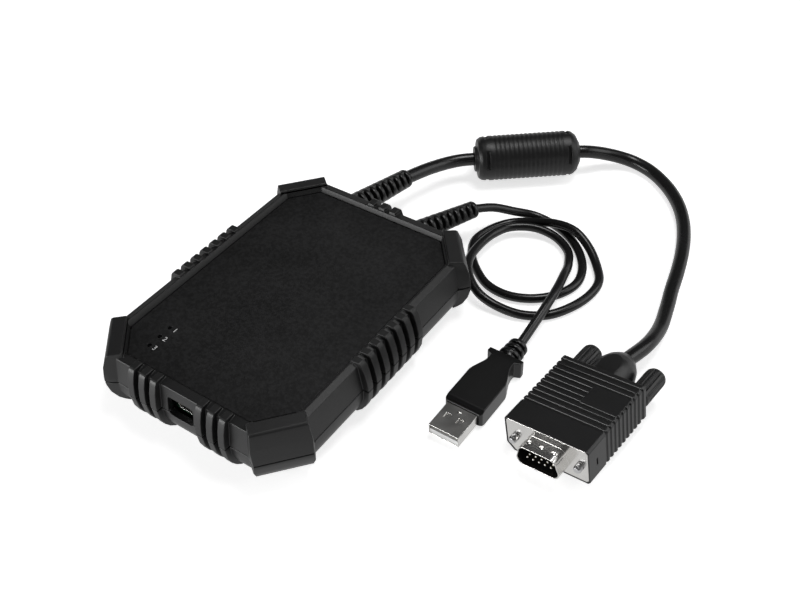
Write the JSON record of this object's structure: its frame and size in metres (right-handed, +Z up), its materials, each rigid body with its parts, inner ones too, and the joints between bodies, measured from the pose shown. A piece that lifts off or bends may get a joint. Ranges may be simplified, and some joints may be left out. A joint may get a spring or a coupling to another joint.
{
  "type": "crash cart adapter",
  "caption": "Eight-sided black adapter box with a mini socket, a captive video lead with sleeve and screw-down plug, and a coiled keyboard lead with a flat plug.",
  "frame": {"origin": "middle of the box's footprint on the table, without the cords", "axes": "+Z up out of the box's plate, -Y out of the mini socket's mouth, +Y where the two leads leave"},
  "size_m": [0.1728, 0.2303, 0.0267],
  "materials": {
    "case_plastic": "black moulded plastic, fine texture, satin",
    "plate_plastic": "black plate with a fine grain, matte",
    "clear_plastic": "clear moulded light pipes",
    "screw_steel": "plated steel",
    "board_green": "green solder mask",
    "chip_black": "black chip packages",
    "can_metal": "drawn metal cans",
    "ferrite_grey": "dark sintered ferrite",
    "lamp_cream": "small lamps",
    "nickel_shell": "nickel-plated sheet",
    "core_black": "black moulded core",
    "gold_contact": "gold-plated contacts",
    "header_cream": "cream nylon wire headers",
    "cord_jacket": "flexible black jacket, satin",
    "wire_insulation": "coloured wire insulation",
    "boot_plastic": "flexible black boots",
    "sleeve_plastic": "black moulded sleeve, satin",
    "hood_plastic": "black moulded hood, satin",
    "insulator_black": "black moulded insulators",
    "tongue_white": "white moulded tongue",
    "knob_plastic": "black moulded knobs",
    "grip_plastic": "black moulded grip"
  },
  "bodies": {
    "adapter": {"lower_case": "case_plastic", "upper_case": "case_plastic", "top_plate": "plate_plastic", "light_pipes": "clear_plastic", "case_screws": "screw_steel", "circuit_board": "board_green", "capture_chip": "chip_black", "memory_chips": "chip_black", "bridge_chip": "chip_black", "crystal_can": "can_metal", "capacitors": "can_metal", "coils": "ferrite_grey", "status_lamps": "lamp_cream", "mini_socket_shell": "nickel_shell", "mini_socket_core": "core_black", "mini_socket_contacts": "gold_contact", "video_header": "header_cream", "keyboard_header": "header_cream", "video_lead_end": "cord_jacket", "keyboard_lead_end": "cord_jacket", "video_wires": "wire_insulation", "keyboard_wires": "wire_insulation", "video_boot": "boot_plastic", "keyboard_boot": "boot_plastic", "video_cord": "cord_jacket", "sleeve_cover": "sleeve_plastic", "sleeve_ferrite": "ferrite_grey", "video_hood": "hood_plastic", "video_hood_boot": "hood_plastic", "video_flange": "nickel_shell", "video_insulator": "insulator_black", "video_pins": "gold_contact", "keyboard_cord": "cord_jacket", "keyboard_grip": "grip_plastic", "keyboard_relief": "grip_plastic", "keyboard_shell": "nickel_shell", "keyboard_tongue": "tongue_white", "keyboard_contacts": "gold_contact"},
    "left_thumb_screw": {"left_jack_screw": "screw_steel", "left_jack_knob": "knob_plastic"},
    "right_thumb_screw": {"right_jack_screw": "screw_steel", "right_jack_knob": "knob_plastic"}
  },
  "joints": [
    {"name": "left_screw_turn", "type": "hinge", "parent": "adapter", "child": "left_thumb_screw", "pos_m": [0.09537, 0.01684, 0.00665], "axis": [-0.0767, -0.9971, 0], "continuous": true},
    {"name": "right_screw_turn", "type": "hinge", "parent": "adapter", "child": "right_thumb_screw", "pos_m": [0.12001, 0.01494, 0.0103], "axis": [-0.0767, -0.9971, 0], "continuous": true}
  ]
}
